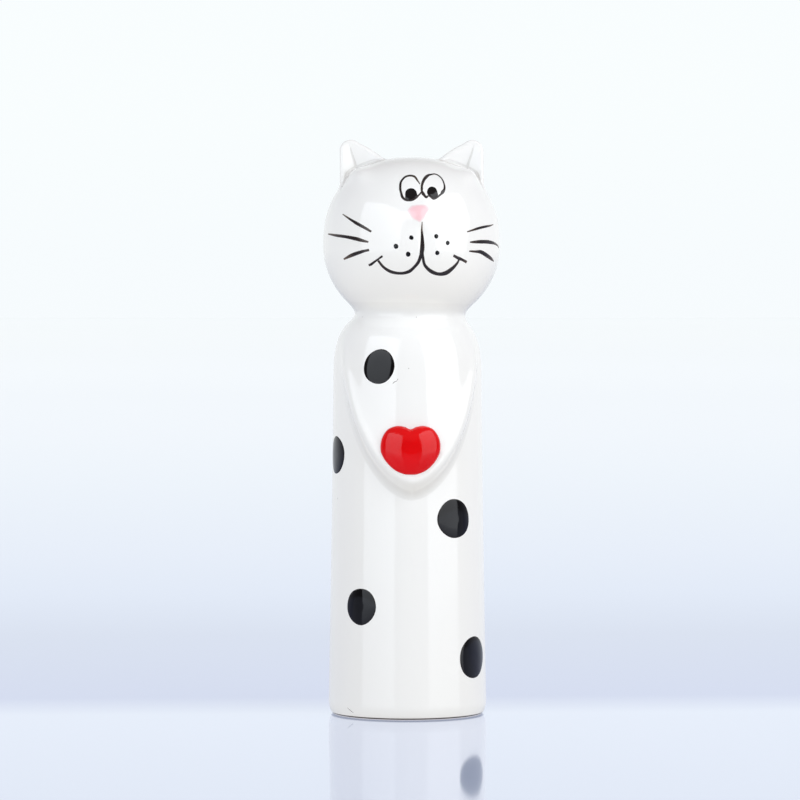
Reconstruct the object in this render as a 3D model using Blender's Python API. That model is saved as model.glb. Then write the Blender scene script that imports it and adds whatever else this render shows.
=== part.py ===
"""Slip-cast ceramic cat souvenir: a column body, a round head, two ears and two arms that hold a heart.

Metres, +Z up, face towards -Y, left and right as seen by someone facing the cat. The origin is on the
table, under the middle of the whole figurine. The clay pieces are luted together and fired once, so
nothing moves.
"""

import math

import bmesh
import bpy
from mathutils import Vector

MM = 0.001

# Clay wall, and the gap kept between pieces that touch.
WALL = 4.0 * MM
GAP = 0.3 * MM
SIDES = 48

# Both axes lie behind the middle, because the heart stands proud of the front.
AXIS_Y = 1.8 * MM

# Body: a slightly tapered column that stands 1.2 mm to the left of the head's axis.
BODY_CENTRE = Vector((-1.2 * MM, AXIS_Y, 0.0))
FOOT_RADIUS = 22.2 * MM
HIP_RADIUS = 23.5 * MM
HIP_Z = 4.0 * MM
SHOULDER_RADIUS = 22.0 * MM
SHOULDER_Z = 99.0 * MM
SHOULDER_RISE = 18.2 * MM
SHOULDER_RUN = 9.8 * MM
SHOULDER_POWER = 2.6
FOOT_RING_WIDTH = 5.0 * MM
FOOT_RECESS = 1.2 * MM
FLOOR_TOP_Z = 4.5 * MM
VENT_RADIUS = 4.0 * MM

# Neck: the luted seam between body and head.
NECK_RADIUS = 16.1 * MM
NECK_OPENING = 10.0 * MM
NECK_Z = 118.0 * MM

# Head: a superellipsoid with a flatter upper half.
HEAD_Z = 138.5 * MM
HEAD_CENTRE = Vector((0.0, AXIS_Y, HEAD_Z))
HEAD_HALF_WIDTH = 26.25 * MM
HEAD_HALF_DEPTH = 25.5 * MM
HEAD_UPPER = 26.2 * MM
HEAD_LOWER = 24.2 * MM
HEAD_UPPER_POWER = 2.3
HEAD_LOWER_POWER = 2.0
FACE_TURN = math.radians(3.0)
# Soft swellings of the face: across, up from the head's centre, height, spread.
FACE_SWELLINGS = (
    (-6.0 * MM, -0.5 * MM, 1.3 * MM, 5.5 * MM),
    (6.0 * MM, -0.5 * MM, 1.3 * MM, 5.5 * MM),
    (0.0, 10.0 * MM, 0.7 * MM, 3.5 * MM),
)

# Ears: upright triangles with a rounded tip, thick at the root, cupped at the front.
EAR_TIP_X = 18.0 * MM
EAR_TIP_Z = 28.2 * MM
EAR_TIP_RADIUS = 3.3 * MM
EAR_SLOPE = math.radians(129.0)
EAR_SLOPE_LENGTH = 12.0 * MM
EAR_SIDE_LENGTH = 13.0 * MM
EAR_ROOT_Z = 17.0 * MM
EAR_ROOT_THICKNESS = 9.5 * MM
EAR_TIP_THICKNESS = 3.4 * MM
EAR_CUP_DEPTH = 1.5 * MM
EAR_BACK = 0.5 * MM

# Arms: the two halves of a V in relief, proudest where the paws meet under the heart.
PAW_Z = 65.0 * MM
SHOULDER_TOP_Z = 104.0 * MM
BREAST_Z = 88.0 * MM
BREAST_POWER = 1.6
ARM_RELIEF = 4.5 * MM
ARM_FULL_Z = 68.0 * MM
ARM_FADE = 38.0 * MM
ARM_EDGE_WIDTH = 5.0 * MM
ARM_EDGE_RISE = 0.125
ARM_EDGE_POWER = 1.76
ARM_TIP_SHARE = 0.96
ARM_ROWS = 7
ARM_COLUMNS = 12
THINNEST = 0.6 * MM

# Heart, held at the middle of the chest.
HEART_ANGLE = -1.0
HEART_Z = 78.8 * MM
HEART_THICKNESS = 2.6 * MM
HEART_HALF_OUTLINE = (
    (0.0, 5.8),
    (1.8, 6.7),
    (4.2, 7.0),
    (6.8, 5.7),
    (8.4, 2.8),
    (8.3, -0.4),
    (6.8, -3.2),
    (4.4, -5.7),
    (1.9, -6.9),
    (0.0, -7.0),
)

# Painted enamel, thicker here than a brush leaves it so that it stays a sound solid.
ENAMEL = 0.45 * MM
EYE_DOME = 0.6 * MM
# Spots: name, degrees round the body from the front, height, half width, half height.
SPOTS = (
    ("spot_chest", -25.0, 103.0, 4.7, 5.2),
    ("spot_left_side", -74.0, 76.8, 5.0, 5.5),
    ("spot_right_waist", 34.8, 58.5, 5.6, 5.6),
    ("spot_left_hip", -40.0, 32.8, 5.4, 5.6),
    ("spot_right_foot", 54.8, 17.5, 6.0, 6.2),
    ("spot_back_shoulder", 152.0, 97.0, 4.9, 5.4),
    ("spot_back_left", -141.0, 84.0, 5.3, 5.8),
    ("spot_back_waist", 172.0, 61.0, 5.6, 5.8),
    ("spot_back_right", 118.0, 43.0, 5.2, 5.7),
    ("spot_back_foot", -155.0, 27.0, 5.8, 5.9),
)
SPOT_POINTS = 18
# Eyes: side, centre across and up, half width, half height, the pupil's centre and its half sizes.
EYES = (
    ("left", -2.85, 16.5, 2.95, 3.95, -2.5, 14.6, 1.75, 1.85),
    ("right", 4.25, 16.8, 3.4, 4.0, 3.8, 15.1, 1.75, 2.0),
)
EYE_LINE = 0.5
EYE_POINTS = 24
NOSE_OUTLINE = (
    (-3.7, 11.0),
    (-0.4, 11.9),
    (3.0, 11.2),
    (2.9, 9.6),
    (1.7, 7.6),
    (0.2, 6.6),
    (-1.9, 8.0),
    (-3.6, 9.8),
)
# Whisker roots, in mm from the centre of the face.
WHISKER_DOTS = ((-2.9, 1.9), (-7.3, -0.6), (-3.8, -2.9), (4.4, 2.3), (7.7, 0.4), (4.7, -2.5))
DOT_RADIUS = 0.62
DOT_POINTS = 8
# Brush strokes of the face: name, width at start, middle and end, then the points of the stroke.
STROKES = (
    ("philtrum", (0.5, 0.8, 1.15), ((0.3, 5.9), (0.25, 2.5), (0.2, -0.5), (0.1, -3.2))),
    ("smile_left", (0.9, 1.0, 0.9), ((-0.6, -4.4), (-2.1, -6.9), (-5.2, -8.3), (-8.7, -7.8), (-11.8, -5.3))),
    ("smile_right", (1.0, 1.2, 0.9), ((0.8, -4.4), (2.1, -7.0), (4.9, -8.6), (8.0, -8.2), (11.0, -5.3))),
    ("cheek_left", (0.7, 1.0, 0.7), ((-14.6, -6.1), (-12.9, -4.8), (-11.1, -3.4))),
    ("cheek_right", (0.7, 1.0, 0.9), ((9.7, -3.3), (11.7, -4.2), (13.8, -5.2))),
    ("whisker_left_1", (0.5, 0.9, 0.5), ((-20.9, 8.3), (-17.8, 6.2), (-14.3, 3.7))),
    ("whisker_left_2", (0.5, 1.0, 0.6), ((-24.2, 3.3), (-20.5, 2.0), (-15.4, 0.7))),
    ("whisker_left_3", (0.5, 0.9, 0.6), ((-21.3, -4.1), (-18.4, -2.7), (-15.0, -1.7))),
    ("whisker_right_1", (0.5, 0.8, 0.5), ((13.9, 3.7), (18.2, 4.9), (22.4, 6.2))),
    ("whisker_right_2", (0.5, 0.8, 0.5), ((14.9, 0.7), (19.1, 0.9), (22.5, 0.7), (24.4, 0.1))),
    ("whisker_right_3", (0.5, 1.0, 0.6), ((14.7, -1.9), (18.4, -2.0), (21.0, -3.0), (23.0, -4.2))),
)
STROKE_STEPS = 3

# Colours of the glaze and the fired-on enamels.
GLAZE_WHITE = (0.87, 0.865, 0.85, 1.0)
ENAMEL_BLACK = (0.012, 0.012, 0.014, 1.0)
ENAMEL_RED = (0.68, 0.008, 0.012, 1.0)
ENAMEL_PINK = (0.9, 0.42, 0.45, 1.0)


def clear_scene():
    for thing in list(bpy.data.objects):
        bpy.data.objects.remove(thing)


def material(name, colour, roughness):
    made = bpy.data.materials.new(name)
    made.use_nodes = True
    shader = made.node_tree.nodes["Principled BSDF"]
    shader.inputs["Base Color"].default_value = colour
    shader.inputs["Roughness"].default_value = roughness
    shader.inputs["Metallic"].default_value = 0.0
    return made


def finish(name, bm, surface):
    """Turns a bmesh into a smooth-shaded object with outward faces."""
    bmesh.ops.recalc_face_normals(bm, faces=bm.faces)
    mesh = bpy.data.meshes.new(name)
    bm.to_mesh(mesh)
    bm.free()
    mesh.materials.append(surface)
    mesh.shade_smooth()
    mesh.set_sharp_from_angle(angle=math.radians(35))
    thing = bpy.data.objects.new(name, mesh)
    bpy.context.scene.collection.objects.link(thing)
    return thing


def ease(value):
    """0 to 1 along a quarter circle, steep at first."""
    inside = min(max(value, 0.0), 1.0)
    return math.sqrt(1.0 - (1.0 - inside) ** 2)


def shoulder_radius(z, start_z, rise, radius, run):
    """The rounded shoulder's radius at a height."""
    up = min(max((z - start_z) / rise, 0.0), 1.0)
    return radius - run * (1.0 - (1.0 - up**SHOULDER_POWER) ** (1.0 / SHOULDER_POWER))


def body_radius(z):
    if z < HIP_Z:
        return FOOT_RADIUS + (HIP_RADIUS - FOOT_RADIUS) * ease(z / HIP_Z)
    if z < SHOULDER_Z:
        along = (z - HIP_Z) / (SHOULDER_Z - HIP_Z)
        return HIP_RADIUS + (SHOULDER_RADIUS - HIP_RADIUS) * along
    return shoulder_radius(z, SHOULDER_Z, SHOULDER_RISE, SHOULDER_RADIUS, SHOULDER_RUN)


def arm_edge_z(around):
    """Height of the V's outer edge, around being measured along the surface from the middle."""
    return PAW_Z + ARM_EDGE_RISE * (abs(around) / MM) ** ARM_EDGE_POWER * MM


def arm_relief(around, z):
    """How proud of the column the arms and chest are."""
    slope = ARM_EDGE_RISE * ARM_EDGE_POWER * (abs(around) / MM) ** (ARM_EDGE_POWER - 1.0)
    inside = (z - arm_edge_z(around)) / math.hypot(1.0, slope)
    height = ARM_RELIEF * min(max(1.0 - (z - ARM_FULL_Z) / ARM_FADE, 0.0), 1.0)
    return height * ease(inside / ARM_EDGE_WIDTH)


def on_body(around, z, lift, base_angle=0.0, relief=True):
    """A point on the body: around along the surface from base_angle, z up, lift out of the surface."""
    plain = body_radius(z)
    angle = base_angle + around / plain
    proud = arm_relief(angle * plain, z) if relief else 0.0
    radius = plain + proud + lift
    return BODY_CENTRE + Vector((radius * math.sin(angle), -radius * math.cos(angle), z))


def head_radius(direction, lift=0.0):
    """Distance from the head's centre to its surface, along a unit vector."""
    half_height = HEAD_UPPER if direction.z > 0 else HEAD_LOWER
    power = HEAD_UPPER_POWER if direction.z > 0 else HEAD_LOWER_POWER
    flat = math.hypot(direction.x / (HEAD_HALF_WIDTH + lift), direction.y / (HEAD_HALF_DEPTH + lift))
    tall = abs(direction.z) / (half_height + lift)
    return (flat**power + tall**power) ** (-1.0 / power)


def face_swelling(across, up):
    return sum(
        height * math.exp(-((across - x) ** 2 + (up - z) ** 2) / (2.0 * spread**2))
        for x, z, height, spread in FACE_SWELLINGS
    )


def on_head(direction, lift=0.0):
    """The point of the head's outer surface in a direction, with the face's swellings."""
    radius = head_radius(direction) + lift
    across = radius * (direction.x * math.cos(FACE_TURN) + direction.y * math.sin(FACE_TURN))
    if direction.y < 0:
        radius += face_swelling(across, radius * direction.z)
    return HEAD_CENTRE + direction * radius


def on_face(across, up, lift):
    """The point of the face that lies this far across and up from the head's centre, seen from the front."""
    depth = HEAD_HALF_DEPTH
    for _ in range(12):
        direction = Vector((across, -depth, up)).normalized()
        point = on_head(direction) - HEAD_CENTRE
        scale = max(1e-9, 1.0 - (across**2 + up**2) / point.length_squared)
        depth = point.length * math.sqrt(scale)
    direction = Vector((across, -depth, up)).normalized()
    turned = Vector(
        (
            direction.x * math.cos(FACE_TURN) - direction.y * math.sin(FACE_TURN),
            direction.x * math.sin(FACE_TURN) + direction.y * math.cos(FACE_TURN),
            direction.z,
        )
    )
    return on_head(turned, lift)


def turned_shell(name, profile, centre, surface, reshape=None):
    """Spins a closed profile of (radius, height) points round the vertical axis."""
    bm = bmesh.new()
    corners = [bm.verts.new((radius, 0.0, height)) for radius, height in profile]
    edges = [bm.edges.new((a, b)) for a, b in zip(corners, corners[1:])]
    if profile[0][0] > 0.0:
        edges.append(bm.edges.new((corners[-1], corners[0])))
    bmesh.ops.spin(
        bm,
        geom=corners + edges,
        cent=(0.0, 0.0, 0.0),
        axis=(0.0, 0.0, 1.0),
        angle=2.0 * math.pi,
        steps=SIDES,
    )
    bmesh.ops.remove_doubles(bm, verts=bm.verts, dist=0.001 * MM)
    for corner in bm.verts:
        if reshape:
            corner.co = reshape(corner.co)
        corner.co += centre
    return finish(name, bm, surface)


def body_profile():
    """The body's section: up the outside, over the neck ring, down the inside and out of the vent."""
    foot = [(body_radius(HIP_Z * step / 3), HIP_Z * step / 3) for step in range(3)]
    side = [(body_radius(z * MM), z * MM) for z in (4, 34, 67, 99)]
    shoulder = [
        (body_radius(SHOULDER_Z + up * SHOULDER_RISE), SHOULDER_Z + up * SHOULDER_RISE)
        for up in (0.3, 0.5, 0.66, 0.78, 0.86, 0.915)
    ]
    neck_top = NECK_Z - GAP / 2
    neck = [(NECK_RADIUS, neck_top), (NECK_OPENING, neck_top)]
    start = SHOULDER_Z - WALL / 2
    rise = SHOULDER_RISE - WALL / 2
    inner = SHOULDER_RADIUS - WALL
    inner_shoulder = [
        (shoulder_radius(start + up * rise, start, rise, inner, inner - NECK_OPENING), start + up * rise)
        for up in (1.0, 0.9, 0.66, 0.3, 0.0)
    ]
    cavity = [(HIP_RADIUS - WALL, FLOOR_TOP_Z + WALL), (HIP_RADIUS - WALL - 2.5 * MM, FLOOR_TOP_Z)]
    vent = [(VENT_RADIUS, FLOOR_TOP_Z), (VENT_RADIUS, FOOT_RECESS)]
    ring = [
        (FOOT_RADIUS - FOOT_RING_WIDTH - 0.5 * MM, FOOT_RECESS),
        (FOOT_RADIUS - FOOT_RING_WIDTH, 0.0),
    ]
    return foot + side + shoulder + neck + inner_shoulder + cavity + vent + ring


def head_point(angle, lift):
    """A point of the head's section, angle being measured up from the level of its centre."""
    direction = Vector((math.cos(angle), 0.0, math.sin(angle)))
    radius = head_radius(direction, lift)
    return (max(radius * math.cos(angle), 0.0), radius * math.sin(angle))


def head_profile():
    """The head's section: down the outside, under the neck ring and back up the inside."""
    outside = [head_point(math.radians(90 - 8.6 * step), 0.0) for step in range(16)]
    outside[0] = (0.0, HEAD_UPPER)
    bottom = NECK_Z + GAP / 2 - HEAD_Z
    neck = [(NECK_RADIUS, bottom), (NECK_OPENING, bottom)]
    inside = [head_point(math.radians(-60 + 15 * step), -WALL) for step in range(11)]
    inside[-1] = (0.0, HEAD_UPPER - WALL)
    return outside + neck + inside


def face_shape(corner):
    """Moves a corner of the turned head onto the real head: narrower front to back, with a swollen face."""
    shaped = Vector((corner.x, corner.y * HEAD_HALF_DEPTH / HEAD_HALF_WIDTH, corner.z))
    direction = shaped.normalized()
    is_outside = shaped.length > head_radius(direction) - WALL / 2
    above_neck = corner.z > NECK_Z + MM - HEAD_Z
    if is_outside and above_neck:
        return on_head(direction) - HEAD_CENTRE
    return shaped


def ear_outline(inset, side):
    """The ear's outline seen from the front, from the inner root round the tip to the outer root."""
    radius = EAR_TIP_RADIUS - inset
    arc = [EAR_SLOPE * (1.0 - step / 7) for step in range(8)]
    points = [(EAR_TIP_X + radius * math.cos(a), EAR_TIP_Z + radius * math.sin(a)) for a in arc]
    run = EAR_SLOPE_LENGTH * math.cos(EAR_SLOPE + math.pi / 2)
    drop = EAR_SLOPE_LENGTH * math.sin(EAR_SLOPE + math.pi / 2)
    steps = (1.0, 0.66, 0.33)
    inner = [(points[0][0] + run * share, points[0][1] + drop * share) for share in steps]
    outer = [(points[-1][0], points[-1][1] - EAR_SIDE_LENGTH * share) for share in reversed(steps)]
    return [(side * x, z) for x, z in inner + points + outer]


def ear_thickness(z):
    along = (z - EAR_ROOT_Z) / (EAR_TIP_Z + EAR_TIP_RADIUS - EAR_ROOT_Z)
    return EAR_ROOT_THICKNESS + (EAR_TIP_THICKNESS - EAR_ROOT_THICKNESS) * along


def loft(name, rings, surface):
    """Joins rings of equal length in order, and closes both ends."""
    bm = bmesh.new()
    loops = [[bm.verts.new(point) for point in ring] for ring in rings]
    for near, far in zip(loops, loops[1:]):
        for k in range(len(near)):
            following = (k + 1) % len(near)
            bm.faces.new((near[k], near[following], far[following], far[k]))
    bm.faces.new(loops[0])
    bm.faces.new(loops[-1])
    bmesh.ops.triangulate(bm, faces=bm.faces)
    return finish(name, bm, surface)


def make_ear(name, side, surface, clearance):
    """One ear: cup, rim, edge and back, cut to sit on the head."""
    sections = (
        (2.3 * MM, -0.5, EAR_CUP_DEPTH),
        (1.3 * MM, -0.5, 0.3 * MM),
        (0.7 * MM, -0.5, 0.0),
        (0.0, -0.2, 0.0),
        (0.0, 0.15, 0.0),
        (1.1 * MM, 0.5, 0.0),
    )
    rings = []
    for inset, share, sunk in sections:
        outline = ear_outline(inset, side)
        depths = [EAR_BACK + sunk + share * ear_thickness(z) for _, z in outline]
        rings.append([HEAD_CENTRE + Vector((x, depth, z)) for (x, z), depth in zip(outline, depths)])
    ear = loft(name, rings, surface)
    seat = ear.modifiers.new("seat", "BOOLEAN")
    seat.operation = "DIFFERENCE"
    seat.object = clearance
    return ear


def make_arm(name, side, surface):
    """Half of the V in relief: from the breast's middle out to the shoulder, with a rounded outer edge."""
    tip = ((SHOULDER_TOP_Z - PAW_Z) / MM / ARM_EDGE_RISE) ** (1.0 / ARM_EDGE_POWER) * MM
    under = []
    over = []
    for column in range(ARM_COLUMNS):
        share = column / (ARM_COLUMNS - 1)
        around = GAP / 2 + (tip * ARM_TIP_SHARE - GAP / 2) * share
        top = BREAST_Z + (SHOULDER_TOP_Z - BREAST_Z) * (around / tip) ** BREAST_POWER
        bottom = arm_edge_z(around)
        heights = [bottom + (top - bottom) * (row / (ARM_ROWS - 1)) ** 1.6 for row in range(ARM_ROWS)]
        under.append([on_body(side * around, z, GAP, relief=False) for z in heights])
        proud = [max(arm_relief(around, z), GAP + THINNEST) for z in heights]
        over.append([on_body(side * around, z, lift, relief=False) for z, lift in zip(heights, proud)])
    return slab(name, under, over, surface)


def slab(name, under, over, surface):
    """A closed slab between two grids of the same size."""
    bm = bmesh.new()
    low = [[bm.verts.new(point) for point in row] for row in under]
    high = [[bm.verts.new(point) for point in row] for row in over]
    last_row = len(low) - 1
    last_column = len(low[0]) - 1
    for i in range(last_row):
        for j in range(last_column):
            bm.faces.new((low[i][j], low[i + 1][j], low[i + 1][j + 1], low[i][j + 1]))
            bm.faces.new((high[i][j], high[i][j + 1], high[i + 1][j + 1], high[i + 1][j]))
        for j in (0, last_column):
            bm.faces.new((low[i][j], low[i + 1][j], high[i + 1][j], high[i][j]))
    for i in (0, last_row):
        for j in range(last_column):
            bm.faces.new((low[i][j], low[i][j + 1], high[i][j + 1], high[i][j]))
    bmesh.ops.triangulate(bm, faces=bm.faces)
    return finish(name, bm, surface)


def oval(across, up, half_width, half_height, count):
    turns = [2.0 * math.pi * step / count for step in range(count)]
    return [(across + half_width * math.sin(turn), up + half_height * math.cos(turn)) for turn in turns]


def make_patch(name, outline, place, low, high, surface, dome=0.0):
    """A thin pad over an outline. place maps across, up and lift to a point; dome swells the middle."""
    centre_x = sum(x for x, _ in outline) / len(outline)
    centre_z = sum(z for _, z in outline) / len(outline)

    def ring(share, lift):
        shrunk = [(centre_x + (x - centre_x) * share, centre_z + (z - centre_z) * share) for x, z in outline]
        return [place(x * MM, z * MM, lift) for x, z in shrunk]

    under = [ring(0.45, low), ring(1.0, low)]
    over = [ring(1.0, high), ring(0.8, high + 0.6 * dome), ring(0.4, high + dome)]
    return loft(name, under + over, surface)


def spline_value(before, start, end, after, t):
    """One coordinate of a Catmull-Rom spline between start and end."""
    linear = (end - before) * t
    square = (2 * before - 5 * start + 4 * end - after) * t**2
    cube = (3 * start - before - 3 * end + after) * t**3
    return 0.5 * (2 * start + linear + square + cube)


def smoothed(points, steps):
    """A smooth curve through a few points."""
    ends = [points[0]] + list(points) + [points[-1]]
    curve = []
    for four in zip(ends, ends[1:], ends[2:], ends[3:]):
        for step in range(steps):
            curve.append(tuple(spline_value(*values, step / steps) for values in zip(*four)))
    return curve + [tuple(points[-1])]


def stroke_width(widths, along):
    start, middle, end = widths
    if along < 0.5:
        return start + (middle - start) * along * 2
    return middle + (end - middle) * (along * 2 - 1)


def make_stroke(name, widths, points, surface):
    """A painted line of varying width on the face."""
    path = smoothed(points, STROKE_STEPS)
    under = []
    over = []
    for k, (x, z) in enumerate(path):
        before = path[max(k - 1, 0)]
        after = path[min(k + 1, len(path) - 1)]
        run = math.hypot(after[0] - before[0], after[1] - before[1])
        half = stroke_width(widths, k / (len(path) - 1)) / 2
        side = ((before[1] - after[1]) / run * half, (after[0] - before[0]) / run * half)
        row = [((x + side[0] * s) * MM, (z + side[1] * s) * MM) for s in (-1, 1)]
        under.append([on_face(u, v, GAP) for u, v in row])
        over.append([on_face(u, v, GAP + ENAMEL) for u, v in row])
    return slab(name, under, over, surface)


def make_eye(side, eye, white, black):
    """The domed white, the black line round it and the pupil that lies on it."""
    across, up, half_width, half_height, pupil_x, pupil_z, pupil_width, pupil_height = eye
    inner = EYE_LINE / 2 + GAP / MM
    edge = EYE_DOME / 2
    dome = oval(across, up, half_width - inner, half_height - inner, EYE_POINTS)
    make_patch(f"eye_white_{side}", dome, on_face, GAP, GAP + edge, white, EYE_DOME - edge)
    offsets = (-EYE_LINE / 2, EYE_LINE / 2)
    rims = [oval(across, up, half_width + out, half_height + out, EYE_POINTS) for out in offsets]
    ring = bmesh.new()
    loops = [
        [ring.verts.new(on_face(x * MM, z * MM, lift)) for x, z in rims[which]]
        for which, lift in ((0, GAP), (1, GAP), (1, GAP + ENAMEL), (0, GAP + ENAMEL))
    ]
    for near, far in zip(loops, loops[1:] + loops[:1]):
        for k in range(EYE_POINTS):
            following = (k + 1) % EYE_POINTS
            ring.faces.new((near[k], near[following], far[following], far[k]))
    finish(f"eye_line_{side}", ring, black)
    pupil = oval(pupil_x, pupil_z, pupil_width, pupil_height, EYE_POINTS // 2)
    lift = EYE_DOME + 2 * GAP
    make_patch(f"pupil_{side}", pupil, on_face, lift, lift + ENAMEL, black, 0.2 * MM)


def make_heart(surface):
    left = [(-x, z) for x, z in reversed(HEART_HALF_OUTLINE[1:-1])]
    outline = smoothed(list(HEART_HALF_OUTLINE) + left + [HEART_HALF_OUTLINE[0]], 2)[:-1]

    def place(across, up, lift):
        return on_body(across, HEART_Z + up, lift, math.radians(HEART_ANGLE))

    low = 2 * GAP
    edge = HEART_THICKNESS / 2
    make_patch("heart", outline, place, low, low + edge, surface, HEART_THICKNESS - edge)


def make_spots(surface):
    for name, degrees, z, half_width, half_height in SPOTS:
        outline = oval(0.0, z, half_width, half_height, SPOT_POINTS)

        def place(across, up, lift, base=math.radians(degrees)):
            return on_body(across, up, lift, base, relief=False)

        make_patch(name, outline, place, GAP, GAP + ENAMEL, surface)


def make_clay(white):
    turned_shell("body_shell", body_profile(), BODY_CENTRE, white)
    turned_shell("head_shell", head_profile(), HEAD_CENTRE, white, face_shape)
    clearance_profile = [head_point(math.radians(90 - 10 * step), GAP) for step in range(19)]
    clearance_profile[0] = (0.0, HEAD_UPPER + GAP)
    clearance_profile[-1] = (0.0, -HEAD_LOWER - GAP)
    clearance = turned_shell("ear_clearance", clearance_profile, HEAD_CENTRE, white)
    clearance.hide_render = True
    clearance.display_type = "WIRE"
    for label, side in (("left", -1), ("right", 1)):
        make_ear(f"ear_{label}", side, white, clearance)
        make_arm(f"arm_{label}", side, white)


def make_paint(white, black, red, pink):
    make_heart(red)
    make_spots(black)
    for side, *eye in EYES:
        make_eye(side, eye, white, black)
    make_patch("nose", NOSE_OUTLINE, on_face, GAP, GAP + ENAMEL, pink)
    for number, (x, z) in enumerate(WHISKER_DOTS, 1):
        dot = oval(x, z, DOT_RADIUS, DOT_RADIUS, DOT_POINTS)
        make_patch(f"whisker_dot_{number}", dot, on_face, GAP, GAP + ENAMEL, black)
    for name, widths, points in STROKES:
        make_stroke(name, widths, points, black)


def main():
    clear_scene()
    white = material("white_glaze", GLAZE_WHITE, 0.08)
    black = material("black_enamel", ENAMEL_BLACK, 0.1)
    red = material("red_enamel", ENAMEL_RED, 0.1)
    pink = material("pink_enamel", ENAMEL_PINK, 0.2)
    make_clay(white)
    make_paint(white, black, red, pink)


main()
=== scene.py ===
"""Glossy ceramic cat souvenir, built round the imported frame.

The clay is one smooth distance field (column, head, ears, arms and foot, blended where the wet clay was
luted), polygonised once and then cut into the frame's pieces, so that the glaze runs over the seams
without a step. Paint and heart are thin glossy pads laid on that surface. The sculpting is worked out in
millimetres, with Z up and the face towards -Y, and becomes metres when a mesh is made.
"""

from math import cos, pi, radians, sin, tan

import bmesh
import bpy
import numpy as np
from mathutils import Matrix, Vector


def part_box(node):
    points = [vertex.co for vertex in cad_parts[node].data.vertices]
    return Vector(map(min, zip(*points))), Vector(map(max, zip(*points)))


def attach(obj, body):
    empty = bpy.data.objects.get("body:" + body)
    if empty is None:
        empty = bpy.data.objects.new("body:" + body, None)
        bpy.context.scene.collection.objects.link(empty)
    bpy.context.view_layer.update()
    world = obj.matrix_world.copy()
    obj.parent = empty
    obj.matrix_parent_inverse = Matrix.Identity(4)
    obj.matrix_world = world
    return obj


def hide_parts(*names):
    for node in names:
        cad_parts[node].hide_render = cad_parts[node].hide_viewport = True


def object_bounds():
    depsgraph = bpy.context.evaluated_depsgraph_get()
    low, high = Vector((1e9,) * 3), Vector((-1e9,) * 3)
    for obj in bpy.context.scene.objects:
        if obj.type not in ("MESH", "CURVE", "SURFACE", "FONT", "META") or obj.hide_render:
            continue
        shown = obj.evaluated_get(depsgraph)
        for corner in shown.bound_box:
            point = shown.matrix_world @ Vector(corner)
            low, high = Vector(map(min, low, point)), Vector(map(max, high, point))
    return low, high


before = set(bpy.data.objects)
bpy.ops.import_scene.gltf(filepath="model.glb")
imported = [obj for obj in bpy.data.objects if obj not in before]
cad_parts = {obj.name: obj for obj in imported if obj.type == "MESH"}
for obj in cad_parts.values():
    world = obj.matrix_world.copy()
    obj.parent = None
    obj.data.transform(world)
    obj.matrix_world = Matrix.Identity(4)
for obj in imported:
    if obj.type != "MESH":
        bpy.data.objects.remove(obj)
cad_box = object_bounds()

MM = 0.001


def box_mm(node):
    low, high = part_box(node)
    return np.array(low) / MM, np.array(high) / MM


BODY_LOW, BODY_HIGH = box_mm("body_shell")
HEAD_LOW, HEAD_HIGH = box_mm("head_shell")

# Axes and main sizes, from the frame.
BODY_X = (BODY_LOW[0] + BODY_HIGH[0]) / 2
AXIS_Y = (BODY_LOW[1] + BODY_HIGH[1]) / 2
HIP_RADIUS = (BODY_HIGH[0] - BODY_LOW[0]) / 2
HEAD_X = (HEAD_LOW[0] + HEAD_HIGH[0]) / 2
HEAD_HALF_WIDTH = (HEAD_HIGH[0] - HEAD_LOW[0]) / 2
HEAD_HALF_DEPTH = HEAD_HIGH[1] - AXIS_Y
NECK_Z = (BODY_HIGH[2] + HEAD_LOW[2]) / 2
HEAD_UPPER = 26.2
HEAD_Z = HEAD_HIGH[2] - HEAD_UPPER

# Head: flatter above than below.
HEAD_LOWER = 24.2
HEAD_UPPER_POWER = 2.3
HEAD_LOWER_POWER = 2.0
HEAD_CHANGE = 7.0
HEAD_LEAST_RATIO = 0.02
FACE_TURN = radians(3.0)
# How far back the face's swellings begin, and from where on they are full.
FACE_BACK_Y = 4.0
FACE_FULL_Y = -8.0
# Swellings of the muzzle, the nose and the front of the ears' roots: across, up, height, spread.
SWELLINGS = (
    (-6.2, -0.8, 1.1, 5.2), (6.2, -0.8, 1.1, 5.2), (-0.3, 10.2, 0.36, 1.9), (-0.3, 7.6, 0.36, 1.9),
    (-17.2, 21.9, 1.7, 2.6), (17.2, 21.9, 1.7, 2.6),
)
# Groove down the muzzle, which fades at its lower and upper end.
GROOVE_X = 0.3
GROOVE_WIDTH = 0.9
GROOVE_DEPTH = 0.32
GROOVE_LOW = -3.5
GROOVE_HIGH = 4.5
GROOVE_FADE = 1.5

# Column.
SHOULDER_RADIUS = 22.0
SHOULDER_Z = 99.0
SHOULDER_RISE = 18.2
SHOULDER_RUN = 9.8
SHOULDER_POWER = 2.6
TAPER_POWER = 1.25
FOOT_ROUNDING = 4.0
FOOT_DRAW = 1.1
FOOT_BLEND = 0.8
NECK_BLEND = 5.6

# Underside: a recess inside the foot ring, a vent, and the start of the hollow above it.
RECESS_RADIUS = 17.0
RECESS_DEPTH = 1.2
VENT_RADIUS = 4.0
VENT_BLEND = 1.0
HOLLOW_RADIUS = 15.0
HOLLOW_Z = 20.0

# Ears: a wedge with a round tip, its outer side upright and its inner side swollen.
EARS = (("ear_left", -1), ("ear_right", 1))
EAR_TIP_X = 18.0
EAR_TIP_Z = 28.2
EAR_ROUND = 3.3
EAR_SLOPE = radians(39.0)
EAR_SWELL = 0.9
EAR_SWELL_AT = 8.0
EAR_SWELL_REACH = 7.0
EAR_ROOT_Z = 17.0
EAR_ROOT_THICKNESS = 9.5
EAR_TIP_THICKNESS = 3.4
EAR_BACK = 0.5
EAR_BLEND = 1.0
EAR_FRONT_BLEND = 1.0
EAR_BACK_BLEND = 4.0
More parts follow.
